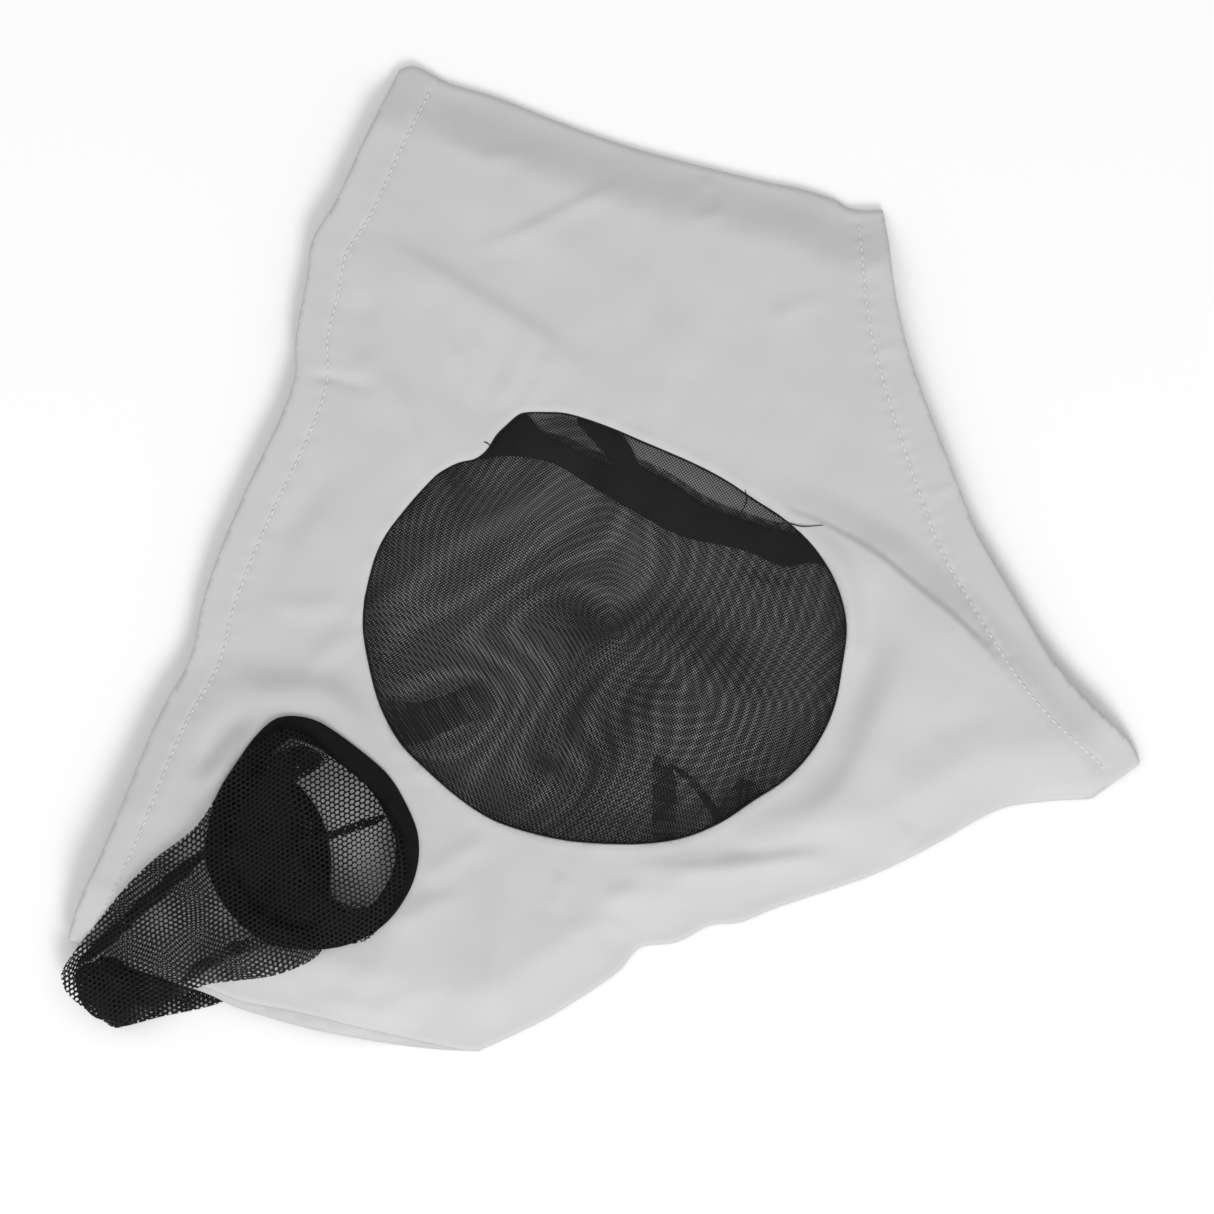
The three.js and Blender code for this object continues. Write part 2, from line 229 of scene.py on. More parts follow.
def node_box(node):
    low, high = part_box(node)
    return np.array(low) / MM, np.array(high) / MM


nose_turn = np.array([topline_nose, nose_end])
plan = joined(neck_edge, near_brow, forehead, nose_turn, nose_edge, jaw_edge)
panel_low, panel_high = node_box("near_side_panel")
shift = ((panel_low + panel_high)[:2] - plan.min(0) - plan.max(0)) / 2
neck_edge, near_brow, off_brow, forehead, nose_turn, nose_edge, jaw_edge = (
    e + shift for e in (neck_edge, near_brow, off_brow, forehead, nose_turn, nose_edge, jaw_edge))
near_outline = joined(neck_edge, near_brow, forehead, nose_turn, nose_edge, jaw_edge)
off_outline = joined(neck_edge, off_brow, forehead, nose_turn, nose_edge, jaw_edge)
topline = np.vstack([near_brow[:-1], forehead[:-1], nose_turn])

def centre_of(node):
    low, high = node_box(node)
    return (low + high)[:2] / 2


near_eye = centre_of("near_eye_binding")
near_ear, off_ear = centre_of("near_ear_rim"), centre_of("off_ear_rim")


# The near eye hole, as it lies: a pulled corner at the brow and round everywhere else.
EYE_EDGE = np.array([
    (121.3, -33), (116.3, -12.8), (105.6, 4.9), (91.2, 18.8), (75.6, 29.3), (61.6, 38.7),
    (47.2, 46.4), (32.6, 52.9), (17.6, 59.2), (1.3, 66.1), (-17.3, 72), (-30, 72.8),
    (-38.5, 72.6), (-42.5, 71.2), (-47.5, 66.9), (-53.2, 61.3), (-57, 55.2), (-60.4, 51.6),
    (-64.5, 49.2), (-71.5, 47.7), (-78.7, 44.2), (-85.1, 39.4), (-98.5, 24.5), (-110.5, 7.6),
    (-117.1, -12.2), (-119.7, -33.1), (-116.6, -53.9), (-111, -74), (-101.1, -92.2),
    (-86.6, -106.9), (-71.5, -119.9), (-55, -130.5), (-36.5, -136.9), (-17.7, -140.9),
    (1.3, -142.4), (20.6, -142.4), (40, -139.5), (58.4, -132), (75.1, -121), (92.3, -109.4),
    (106.1, -93.6), (115.2, -74.6), (119.2, -53.9)])
EYE_CENTRE = np.array([0.8, -34.8])
eye_hole = spline(EYE_EDGE - EYE_CENTRE + near_eye, 4, closed=True)
# The upper edge of the off eye panel, which has slipped below the near one's.
OFF_EYE_TOP = spline([
    (-63, 51), (-50, 57), (-37, 61), (-27, 59), (-19, 57), (-9, 52), (4, 47), (17, 46),
    (29, 41), (40, 34), (49, 28), (65, 21), (87, 14), (99, 11), (114, 4)], 5)


def inset(loop, by):
    """A closed loop moved inwards."""
    x, y = loop.T
    turns_left = (x * np.roll(y, -1) - y * np.roll(x, -1)).sum() > 0
    return loop + normals(loop, True) * (by if turns_left else -by)


off_eye_low = inset(eye_hole, -3)
off_eye_low = off_eye_low[~((off_eye_low[:, 1] > -6) & (off_eye_low[:, 0] > -64))]
first = int(np.argmin(np.linalg.norm(off_eye_low - OFF_EYE_TOP[0], axis=1)))
off_eye_low = np.roll(off_eye_low, -first, 0)
off_eye_hole = spline(resample(np.vstack([off_eye_low, OFF_EYE_TOP[::-1]]), 7, True), 3, True)

EAR_RIM = spline([
    (-161, -79), (-146, -79), (-134, -85), (-123, -93), (-112, -102), (-103, -112), (-93, -132),
    (-91, -146), (-94, -161), (-102, -175), (-111, -184), (-124, -191), (-138, -194),
    (-153, -194), (-166, -191), (-178, -183), (-188, -172), (-194, -160), (-197, -148),
    (-196, -134), (-193, -121), (-188, -111), (-182, -102), (-172, -88)], 5, closed=True)
RIM_WIDTH = 11.5


near_ear_hole = inset(EAR_RIM, 6)
OFF_EAR_CENTRE = off_ear + (-6, -2)
OFF_EAR_HALF = np.array([47.0, 55.0])
turn = np.linspace(0, 2 * math.pi, 97)[:-1]
round_unit = np.stack([np.cos(turn), np.sin(turn)], axis=1)
off_ear_rim = OFF_EAR_CENTRE + round_unit * OFF_EAR_HALF
off_ear_hole = OFF_EAR_CENTRE + round_unit * (OFF_EAR_HALF - 6)

# --- Ear covers in plan ---
POUCH = [
    (-182, -102), (-194, -122), (-201, -132), (-210, -140), (-221, -148), (-231, -157),
    (-241, -168), (-252, -182), (-261, -193), (-269, -205), (-269, -211), (-267, -216),
    (-261, -222), (-254, -227), (-248, -231), (-242, -234), (-231, -230), (-219, -222),
    (-206, -216), (-196, -212), (-181, -210), (-166, -208), (-156, -205), (-147, -201),
    (-141, -197), (-137, -193)]
pouch_upper = spline(POUCH + [
    (-118, -190), (-109, -181), (-103, -172), (-97, -160), (-96, -146), (-100, -133),
    (-108, -121), (-120, -109), (-131, -99), (-143, -88), (-155, -83), (-168, -88)], 4, True)
pouch_lower = spline(POUCH + [
    (-121, -188), (-108, -176), (-115, -169), (-130, -171), (-137, -158), (-147, -137),
    (-147, -122), (-151, -111), (-141, -104), (-136, -98), (-143, -88), (-155, -83),
    (-168, -88)], 4, True)
pouch_tuck = spline([
    (-143, -95), (-139, -101), (-153, -113), (-150, -124), (-150, -140), (-140, -160),
    (-128, -173), (-116, -173), (-120, -182), (-135, -186), (-150, -185), (-165, -181),
    (-177, -170), (-185, -155), (-187, -140), (-183, -125), (-174, -110), (-163, -98),
    (-153, -93)], 4, True)
off_pouch = spline([
    (-185, -116), (-206, -141), (-231, -171), (-251, -201), (-258, -216), (-251, -228),
    (-242, -234), (-221, -229), (-194, -223), (-171, -213), (-146, -203), (-133, -186),
    (-135, -170), (-134, -150), (-140, -130), (-152, -112), (-168, -106)], 4, True)

# --- How the cloth lies: ridges (positive) and hollows (negative) ---
# Each is (height, width to the left, width to the right, points along it).
WRINKLES = [
    (0.9, 3, 6, [(-70, 153), (-41, 162), (-11, 177), (21, 191)]),
    (2.2, 7, 16, [(-129, 160), (-101, 150), (-71, 133), (-29, 107), (-1, 80)]),
    (-1.2, 8, 8, [(-118, 135), (-120, 114), (-116, 95)]),
    (1.4, 7, 8, [(-112, 95), (-102, 80), (-95, 59), (-94, 33)]),
    (1.1, 5, 7, [(-66, 118), (-61, 97), (-66, 74)]),
    (1.0, 5, 6, [(-81, 129), (-78, 109), (-66, 89)]),
    (1.0, 5, 6, [(-44, 114), (-41, 94), (-55, 74)]),
    (0.9, 5, 6, [(-27, 107), (-29, 90), (-40, 75)]),
    (-1.0, 3, 4, [(-152, 92), (-136, 90), (-109, 84)]),
    (-1.3, 9, 9, [(-132, 53), (-151, 22), (-170, 7)]),
    (1.0, 6, 6, [(-167, -15), (-151, -25), (-124, -20)]),
    (1.0, 6, 6, [(-151, -55), (-136, -46), (-121, -32)]),
    (0.7, 5, 5, [(-81, 212), (-59, 199), (-31, 204)]),
    (0.7, 4, 4, [(43, 168), (55, 171), (61, 177)]),
    (0.6, 5, 5, [(78, 115), (99, 126), (118, 128)]),
    (0.6, 4, 4, [(49, 191), (55, 183)]),
    (1.0, 9, 9, [(25, 63), (33, 94), (31, 129)]),
    (0.5, 3, 3, [(135, 103), (149, 106)]),
    (0.5, 3, 3, [(161, 30), (176, 37)]),
    (0.5, 3, 3, [(129, 144), (141, 148)]),
    (1.6, 5, 6, [(99, 18), (117, -1), (124, -26), (121, -61)]),
    (-1.6, 7, 7, [(118, -1), (133, -21), (134, -41), (124, -71), (113, -103)]),
    (3.2, 14, 9, [(159, -21), (148, -56), (132, -96), (111, -125), (84, -133), (66, -137)]),
    (-1.4, 5, 5, [(49, -142), (79, -146), (114, -140), (124, -152)]),
    (1.6, 5, 5, [(4, -152), (29, -155), (59, -155), (99, -150), (128, -159)]),
    (1.0, 6, 6, [(155, -130), (148, -142), (145, -154)]),
    (-0.8, 8, 8, [(164, -93), (179, -82), (199, -77)]),
    (1.3, 6, 8, [(-50, -152), (-52, -191), (-54, -243)]),
    (1.2, 6, 6, [(-92, -163), (-71, -147), (-51, -139)]),
    (1.2, 6, 6, [(-106, -186), (-86, -173), (-66, -167)]),
    (0.8, 5, 5, [(-1, -170), (19, -166)]),
    (0.8, 5, 5, [(-18, -155), (-25, -177)]),
    (0.8, 5, 5, [(37, -156), (35, -173)]),
    (1.2, 6, 6, [(-151, -213), (-126, -223), (-81, -232)]),
    (1.1, 6, 6, [(-119, -230), (-101, -221), (-81, -213)]),
    (-2.5, 7, 7, [(-170, -74), (-190, -90), (-205, -112)]),
    (2.2, 6, 6, [(-160, -77), (-183, -97), (-201, -121)]),
    (1.8, 8, 8, [(-190, -57), (-170, -66), (-136, -68), (-115, -91)]),
    (0.6, 5, 5, [(-21, -186), (4, -183), (19, -193)]),
]
# The long fold from the eye to the nose end: high below this line, with a drop above it.
FOLD = spline([
    (75, 29), (94, 22), (109, 16), (134, 2), (155, -15), (176, -32), (196, -54), (214, -72),
    (230, -92), (243, -110), (250, -128)], 5)
FOLD_HEIGHT, FOLD_REACH, FOLD_DROP, FOLD_TAIL = 9.5, 40.0, 3.5, 20.0
FOLD_SHARP, FOLD_EASE = 0.35, 9.0
FOLD_PROFILE = [0, 0.12, 0.3, 0.5, 0.62, 0.75, 1], [0, 0.4, 0.9, 1, 0.75, 0.5, 0.3]
# Folds in the near eye mesh, which meet near its middle.
MESH_FOLDS = [
    (-1.6, 6, 6, [(-6, -41), (-14, -66), (-29, -101), (-41, -121)]),
    (-1.3, 5, 5, [(4, -51), (-1, -81), (-11, -116), (-19, -133)]),
    (-1.4, 6, 6, [(12, -30), (44, -46), (69, -61), (89, -66)]),
    (1.0, 8, 8, [(-1, -31), (-21, -16), (-51, -1), (-86, 7)]),
    (1.3, 6, 6, [(13, -16), (19, 4), (29, 19)]),
    (-1.0, 6, 6, [(24, -51), (49, -46), (79, -41), (114, -46)]),
]

# Distance of the hem stitching from its edge: (share along the edge, mm).
NECK_STITCH = [(0, 18.5), (0.15, 19), (0.3, 16), (0.45, 17), (0.6, 16), (0.7, 14), (0.85, 14),
               (1, 12.5)]
NOSE_STITCH = [(0, 18), (0.15, 19.5), (0.35, 20.5), (0.55, 19.5), (0.7, 17), (0.85, 15), (1, 13)]

LOFT, MOUTH_DROP, LOFT_SLOPE = 10.5, 3.2, 32.0
EAR_LIFT, LIFT_ROOM, LIFT_SLOPE = 7.5, 24.0, 40.0
CLOTH = 0.7
EDGE_ROLL = 3.5
WRINKLE_GAIN = 1.6


def ground(P):
    """The off panel lies on the surface, lifted where its own ear cover is under it."""
    away = np.where(inside(P, off_pouch), 0, beside(P, closed_line(off_pouch))[0])
    return EAR_LIFT * (1 - smooth((away - LIFT_ROOM) / LIFT_SLOPE))


def ridge(P, height, left, right, line):
    d, side, t = beside(P, spline(line, 5))
    ends = smooth(t / 0.35) * smooth((1 - t) / 0.35)
    return height * np.exp(-((d / np.where(side > 0, left, right)) ** 2)) * ends


def hem_line(points, shares):
    """The stitching's line along an edge."""
    line = resample(points, 2.0)
    t = np.linspace(0, 1, len(line))
    off = np.interp(t, *zip(*shares))[:, None]
    line = line + normals(line) * off
    return resample(line[2:-2], 2.0)


neck_stitches = hem_line(neck_edge, NECK_STITCH)
nose_stitches = hem_line(nose_edge, NOSE_STITCH)


def hem_relief(P):
    """A turned hem is thicker up to its stitching, which pulls a groove into the cloth."""
    rise = np.zeros(len(P))
    for line, mouth, seed in ((neck_stitches, neck_edge, 3), (nose_stitches, nose_edge, 4)):
        d, side, t = beside(P, line)
        to_mouth = beside(P, mouth)[0]
        hem = (side < 0) & (to_mouth < 24)
        rise += np.where(hem, 0.5 * smooth(d / 2.5), 0) - 0.3 * np.exp(-((d / 1.4) ** 2))
        pucker = np.sin(t * 2 * math.pi * 41 + 2 * waves(P, seed, 60)) * np.exp(-((d / 6) ** 2))
        rise += 0.16 * pucker
        rise -= 0.7 * (1 - np.sqrt(1 - (1 - np.clip(to_mouth / 1.6, 0, 1)) ** 2))
    return rise


def long_fold(P):
    d, side, t = beside(P, FOLD)
    height = FOLD_HEIGHT * np.interp(t, *FOLD_PROFILE)
    below = np.exp(-((d / FOLD_REACH) ** 2))
    # The drop is sharp at its crest, has a soft tail, and eases off into the hem.
    crest = FOLD_DROP + FOLD_EASE * smooth((t - 0.5) / 0.2)
    sharp, soft = 1 - smooth(d / crest), 1 - smooth(d / FOLD_TAIL)
    above = FOLD_SHARP * sharp + (1 - FOLD_SHARP) * soft
    return height * np.where(side < 0, below, above)


def near_height(P):
    """Middle of the near panel's cloth."""
    jaw, top = beside(P, jaw_edge)[0], beside(P, topline)[0]
    seam = np.minimum(jaw, top)
    mouth = np.minimum(beside(P, neck_edge)[0], beside(P, nose_edge)[0])
    full = LOFT - MOUTH_DROP * (1 - smooth(mouth / 70))
    roll = 2.0 * np.sqrt(1 - (1 - np.clip(seam / EDGE_ROLL, 0, 1)) ** 2)
    relief = WRINKLE_GAIN * sum(ridge(P, *w) for w in WRINKLES) + long_fold(P)
    relief += 0.35 * waves(P, 11, 46) + 0.1 * waves(P, 12, 17)
    eye, _, round_eye = beside(P, closed_line(eye_hole))
    eye = np.where(inside(P, eye_hole), 0, eye)
    pucker = np.sin(round_eye * 2 * math.pi * 37 + 2.5 * waves(P, 13, 50))
    relief += 0.3 * pucker * (0.6 + 0.4 * waves(P, 14, 60)) * np.exp(-((eye / 9) ** 2))
    relief += 0.28 * np.exp(-(((eye - 3.2) / 2.0) ** 2)) - 0.3 * np.exp(-((eye / 1.3) ** 2))
    # Wrinkles calm down towards a seam, where the two panels are held together.
    calm = smooth(seam / 9)
    lofted = full * smooth(seam / LOFT_SLOPE)
    return ground(P) + 1.25 + roll + lofted + relief * calm + hem_relief(P)


def off_height(P):
    mouth = np.minimum(beside(P, neck_edge)[0], beside(P, nose_edge)[0])
    return ground(P) + 0.45 + 0.25 * smooth(mouth / 20) * (1 + waves(P, 21, 50))


# --- Sheets ---


def triangulate(loops, spacing, bands=()):
    """Plan points and triangles of a region: an outer loop, then its holes. Each band is
    (line, half width, spacing) where the points are closer together."""
    loops = [resample(loop, min(spacing, 1.8), True) for loop in loops]
    rim = np.vstack(loops)
    low, high = rim.min(0), rim.max(0)

    def hexes(step):
        x = np.arange(low[0], high[0] + step, step)
        y = np.arange(low[1], high[1] + step, step * 0.866)
        gx, gy = np.meshgrid(x, y)
        gx = gx + (np.arange(len(y)) % 2)[:, None] * step / 2
        return np.stack([gx.ravel(), gy.ravel()], axis=1)

    def kept(P, step):
        use = inside(P, loops[0])
        for hole in loops[1:]:
            use &= ~inside(P, hole)
        P = P[use]
        near = np.min([beside(P, closed_line(loop))[0] for loop in loops], axis=0)
        return P[near > 0.5 * step]

    points = kept(hexes(spacing), spacing)
    taken = []
    for line, half, step in bands:
        near_line = beside(points, line)[0] < half
        points = points[~near_line]
        fine = hexes(step)
        low_line, high_line = line.min(0) - half, line.max(0) + half
        fine = fine[((fine > low_line) & (fine < high_line)).all(1)]
        fine = fine[beside(fine, line)[0] < half]
        for other, other_half in taken:
            fine = fine[beside(fine, other)[0] >= other_half]
        points = np.vstack([points, kept(fine, step)])
        taken.append((line, half))
    P = np.vstack([rim, points])
    edges, at = [], 0
    for loop in loops:
        n = len(loop)
        edges += [(at + i, at + (i + 1) % n) for i in range(n)]
        at += n
    out = delaunay_2d_cdt([Vector(p) for p in P], edges, [], 1, 1e-6)
    P = np.array([tuple(v) for v in out[0]])
    faces = np.array(out[2])
    middle = P[faces].mean(1)
    use = inside(middle, loops[0])
    for hole in loops[1:]:
        use &= ~inside(middle, hole)
    return P, faces[use]


def add_mesh(name, points, faces, material, uv=None, extra=None):
    """A mesh object from points in millimetres. uv and extra are per point."""
    points = np.asarray(points, float) * MM
    mesh = bpy.data.meshes.new(name)
    mesh.from_pydata(points.tolist(), [], [list(map(int, f)) for f in faces])
    mesh.update()
    if uv is not None:
        corner = np.zeros(len(mesh.loops), int)
        mesh.loops.foreach_get("vertex_index", corner)
        layer = mesh.uv_layers.new(name="UVMap")
        layer.data.foreach_set("uv", np.asarray(uv, float)[corner].ravel())
    for label, values in (extra or {}).items():
        attribute = mesh.attributes.new(label, "FLOAT", "POINT")
        attribute.data.foreach_set("value", np.asarray(values, np.float32))
    mesh.shade_smooth()
    mesh.materials.append(material)
    obj = bpy.data.objects.new(name, mesh)
    scene.collection.objects.link(obj)
    return obj


def thicken(obj, thickness):
    solid = obj.modifiers.new("cloth", "SOLIDIFY")
    solid.thickness = thickness * MM
    solid.offset = 0
    solid.use_even_offset = False


def put(obj, *nodes):
    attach(obj, "root")
    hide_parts(*nodes)


def turned(P, degrees, pitch):
    """Plan points as texture coordinates: turned, and in units of a pitch."""
    return np.stack([P @ heading(degrees), P @ heading(degrees + 90)], axis=1) / pitch


# --- Materials ---


class Look:
    """A Principled material and short ways to add nodes to it."""

    def __init__(self, name, roughness, sheen=0.0, specular=0.4):
        self.material = bpy.data.materials.new(name)
        self.material.use_nodes = True
        self.tree = self.material.node_tree
        self.shader = self.tree.nodes["Principled BSDF"]
        self.shader.inputs["Roughness"].default_value = roughness
        self.shader.inputs["Sheen Weight"].default_value = sheen
        self.shader.inputs["Sheen Roughness"].default_value = 0.5
        self.shader.inputs["Specular IOR Level"].default_value = specular

    def node(self, kind, **settings):
        node = self.tree.nodes.new(kind)
        for key, value in settings.items():
            setattr(node, key, value)
        return node

    def feed(self, socket, value):
        if isinstance(value, bpy.types.NodeSocket):
            self.tree.links.new(value, socket)
        else:
            socket.default_value = value

    def math(self, operation, *values):
        node = self.node("ShaderNodeMath", operation=operation)
        for socket, value in zip(node.inputs, values):
            self.feed(socket, value)
        return node.outputs[0]

    def place(self):
        """Object coordinates, in metres."""
        return self.node("ShaderNodeTexCoord").outputs["Object"]

    def uv(self):
        split = self.node("ShaderNodeSeparateXYZ")
        self.feed(split.inputs[0], self.node("ShaderNodeUVMap", uv_map="UVMap").outputs[0])
        return split.outputs[0], split.outputs[1]

    def noise(self, scale, detail=3.0, vector=None):
        node = self.node("ShaderNodeTexNoise")
        node.inputs["Scale"].default_value = scale
        node.inputs["Detail"].default_value = detail
        self.feed(node.inputs["Vector"], vector or self.place())
        return node.outputs["Fac"]

    def attribute(self, name):
        return self.node("ShaderNodeAttribute", attribute_name=name).outputs["Fac"]

    def colours(self, dark, light, factor):
        node = self.node("ShaderNodeMix", data_type="RGBA")
        self.feed(node.inputs[0], factor)
        node.inputs[6].default_value = (*dark, 1)
        node.inputs[7].default_value = (*light, 1)
        self.feed(self.shader.inputs["Base Color"], node.outputs[2])

    def bump(self, height, strength, distance):
        node = self.node("ShaderNodeBump")
        node.inputs["Strength"].default_value = strength
        node.inputs["Distance"].default_value = distance
        self.feed(node.inputs["Height"], height)
        self.feed(self.shader.inputs["Normal"], node.outputs[0])

    def grain(self, u, v):
        """Loops of a fine knit: columns of small V shapes."""
        lean = self.math("MULTIPLY", self.math("PINGPONG", u, 0.5), 1.2)
        row = self.math("SINE", self.math("MULTIPLY", self.math("ADD", v, lean), 2 * math.pi))
        column = self.math("PINGPONG", u, 0.5)
        return self.math("ADD", self.math("MULTIPLY", row, 0.25), column)


KNIT_PITCH = 0.0007


def knit_look(name, dark, light):
    look = Look(name, 0.85, sheen=0.12)
    split = look.node("ShaderNodeSeparateXYZ")
    look.feed(split.inputs[0], look.place())
    u = look.math("DIVIDE", split.outputs[0], KNIT_PITCH)
    v = look.math("DIVIDE", split.outputs[1], KNIT_PITCH)
    mottle = look.math("ADD", look.math("MULTIPLY", look.noise(22.0), 0.6),
                       look.math("MULTIPLY", look.noise(900.0, 2.0), 0.4))
    look.colours(dark, light, mottle)
    fine = look.math("MULTIPLY", look.grain(u, v), 0.5)
    look.bump(look.math("ADD", fine, look.noise(260.0, 4.0)), 0.18, 0.00025)
    return look.material


knit = knit_look("grey_stretch_knit", (0.52, 0.512, 0.516), (0.60, 0.59, 0.595))
knit_inside = knit_look("grey_knit_inside", (0.52, 0.515, 0.52), (0.60, 0.592, 0.596))

stitch = Look("stitching_thread", 0.6, sheen=0.1)
stitch_u, stitch_v = stitch.uv()
twist = stitch.math("SINE", stitch.math("MULTIPLY", stitch.math("ADD", stitch_u, stitch_v), 14.0))
stitch.colours((0.76, 0.755, 0.755), (0.86, 0.855, 0.855), stitch.noise(300.0))
stitch.bump(twist, 0.3, 0.0001)

MESH_PITCH = 1.15
MESH_THREAD = 0.33


def mesh_look(name, dark, light):
    """Fine woven net: threads both ways, holes between them."""
    look = Look(name, 0.5, specular=0.12)
    u, v = look.uv()
    # This attribute widens the threads and so darkens the net. It stands for bunched or folded-over
    # net, and on the near eye net also for painted shade; below zero it narrows the threads for a
    # painted highlight.
    width = look.math("ADD", look.math("MULTIPLY", look.attribute("dense_and_shade"), 0.4), MESH_THREAD)
    edge_at = look.math("SUBTRACT", 0.5, look.math("MULTIPLY", width, 0.5))

    def thread(x):
        off = look.math("ABSOLUTE", look.math("SUBTRACT", look.math("FRACT", x), 0.5))
        return look.math("GREATER_THAN", off, edge_at), off

    (over_u, off_u), (over_v, off_v) = thread(u), thread(v)
    look.feed(look.shader.inputs["Alpha"], look.math("MAXIMUM", over_u, over_v))
    look.bump(look.math("MAXIMUM", off_u, off_v), 0.5, 0.0003)
    look.colours(dark, light, look.noise(60.0))
    return look.material


eye_mesh = mesh_look("black_eye_mesh", (0.012, 0.012, 0.012), (0.022, 0.022, 0.022))

NET_PITCH = np.array([2.75, 2.2])


def net_look(name):
    """Knitted net with rows of round holes, each row half a hole along from the last."""
    look = Look(name, 0.55, specular=0.1)
    u, v = look.uv()
    row = look.math("MODULO", look.math("FLOOR", v), 2.0)
    along = look.math("ADD", u, look.math("MULTIPLY", look.math("ABSOLUTE", row), 0.5))
    x = look.math("SUBTRACT", look.math("FRACT", along), 0.5)
    y = look.math("SUBTRACT", look.math("FRACT", v), 0.5)
    size = look.attribute("open")
    x = look.math("DIVIDE", x, look.math("MULTIPLY", size, 0.35))
    y = look.math("DIVIDE", y, look.math("MULTIPLY", size, 0.36))
    out = look.math("SQRT", look.math("ADD", look.math("POWER", look.math("ABSOLUTE", x), 2.0),
                                      look.math("POWER", look.math("ABSOLUTE", y), 2.0)))
    look.feed(look.shader.inputs["Alpha"], look.math("GREATER_THAN", out, 1.0))
    look.bump(look.math("MINIMUM", out, 1.6), 0.7, 0.0005)
    look.colours((0.005, 0.005, 0.005), (0.013, 0.0125, 0.0125), look.noise(120.0))
    return look.material


ear_net = net_look("black_ear_net")

rib = Look("black_ribbed_band", 0.8, specular=0.08)
rib_u, rib_v = rib.uv()
rib.colours((0.005, 0.005, 0.005), (0.013, 0.0125, 0.0125), rib.noise(180.0))
rib_height = rib.math("ADD", rib.math("PINGPONG", rib_u, 0.5),
                      rib.math("MULTIPLY", rib.math("SINE", rib.math("MULTIPLY", rib_v, 9.0)), 0.2))
rib.bump(rib_height, 0.8, 0.0005)

cord_black = Look("black_binding_thread", 0.6, specular=0.12)
cord_u, cord_v = cord_black.uv()
cord_twist = cord_black.math("SINE", cord_black.math("MULTIPLY", cord_u, 6.0))
cord_black.colours((0.007, 0.007, 0.007), (0.016, 0.016, 0.016), cord_black.noise(200.0))
cord_black.bump(cord_twist, 0.4, 0.0003)

paper = Look("pale_floor", 0.9, specular=0.1)
paper.colours((0.96, 0.96, 0.96), (0.97, 0.97, 0.97), paper.noise(3.0))

# --- Panels ---
SPACING = 2.3
FINE = 1.2


def panel(name, loops, height, spacing, bands, material):
    P, faces = triangulate(loops, spacing, bands)
    points = np.column_stack([P, height(P)])
    obj = add_mesh(name, points, faces, material)
    thicken(obj, CLOTH)
    return obj


near_bands = [
    (FOLD, 7.0, FINE), (neck_stitches, 3.5, FINE), (nose_stitches, 3.5, FINE),
    (jaw_edge, 4.5, FINE), (topline, 4.5, FINE), (closed_line(eye_hole), 5.0, FINE),
]
near_panel = panel("near_panel", [near_outline, eye_hole, near_ear_hole], near_height, SPACING,
                   near_bands, knit)
off_panel = panel("off_panel", [off_outline, off_eye_hole, off_ear_hole], off_height,
                  2 * SPACING, [], knit_inside)
put(near_panel, "near_side_panel")
put(off_panel, "off_side_panel")

# --- Tubes, strips and bands along lines ---


def tube(path, radius, sides=8, closed=False, taper=False):
    """Points, faces and texture coordinates of a round cord along a path in space."""
    n = len(path)
    if closed:
        run = np.roll(path, -1, 0) - np.roll(path, 1, 0)
    else:
        run = np.gradient(path, axis=0)
    run /= np.linalg.norm(run, axis=1)[:, None]
    across = np.cross(run, (0, 0, 1.0))
    across /= np.maximum(np.linalg.norm(across, axis=1), 1e-9)[:, None]
    rise = np.cross(across, run)
    radii = np.full(n, radius)
    if taper:
        radii *= np.sqrt(np.clip(1 - np.linspace(-1, 1, n) ** 2 * 0.93, 0, 1))
    a = np.linspace(0, 2 * math.pi, sides, endpoint=False)
    ring = (path[:, None] + radii[:, None, None] * (
        np.cos(a)[None, :, None] * across[:, None] + np.sin(a)[None, :, None] * rise[:, None]))
    points = ring.reshape(-1, 3)
    faces = []
    for i in range(n if closed else n - 1):
        j = (i + 1) % n
        for k in range(sides):
            m = (k + 1) % sides
            faces.append((i * sides + k, j * sides + k, j * sides + m, i * sides + m))
    if not closed:
        faces.append(tuple(range(sides)))
        faces.append(tuple((n - 1) * sides + k for k in reversed(range(sides))))
    along = np.concatenate([[0], np.cumsum(np.linalg.norm(np.diff(path, axis=0), axis=1))])
    uv = np.stack([np.repeat(along, sides), np.tile(a, n)], axis=1)
    return points, faces, uv


def gather(parts):
    """Several (points, faces, uv) as one."""
    points, faces, uvs, at = [], [], [], 0
    for p, f, uv in parts:
        points.append(p)
        uvs.append(uv)
        faces += [tuple(i + at for i in face) for face in f]
        at += len(p)
    return np.vstack(points), faces, np.vstack(uvs)


def on_cloth(line, height, lift):
    return np.column_stack([line, height(line) + lift])


STITCH_PITCH, STITCH_LENGTH, STITCH_RADIUS = 3.8, 2.7, 0.36


def stitches(name, line, height, lift, node, material=None):
    """A row of lockstitches, each a short thread that dips into the cloth at both ends."""
    starts = resample(line, STITCH_PITCH)
    parts, flats = [], []
    for a, b in zip(starts[:-1], starts[1:]):
        run = (b - a) / np.linalg.norm(b - a)
        t = np.linspace(0, 1, 5)
        flat = a + run * STITCH_LENGTH * t[:, None]
        flats.append(flat)
    heights = height(np.vstack(flats)).reshape(-1, 5)
    for flat, z in zip(flats, heights):
        arc = np.sin(np.linspace(0, math.pi, 5))
        path = np.column_stack([flat, z + lift + 0.25 * arc - 0.1])
        parts.append(tube(path, STITCH_RADIUS, 6, taper=True))
    points, faces, uv = gather(parts)
    obj = add_mesh(name, points, faces, material or stitch.material, uv)
    put(obj, node)
    return obj


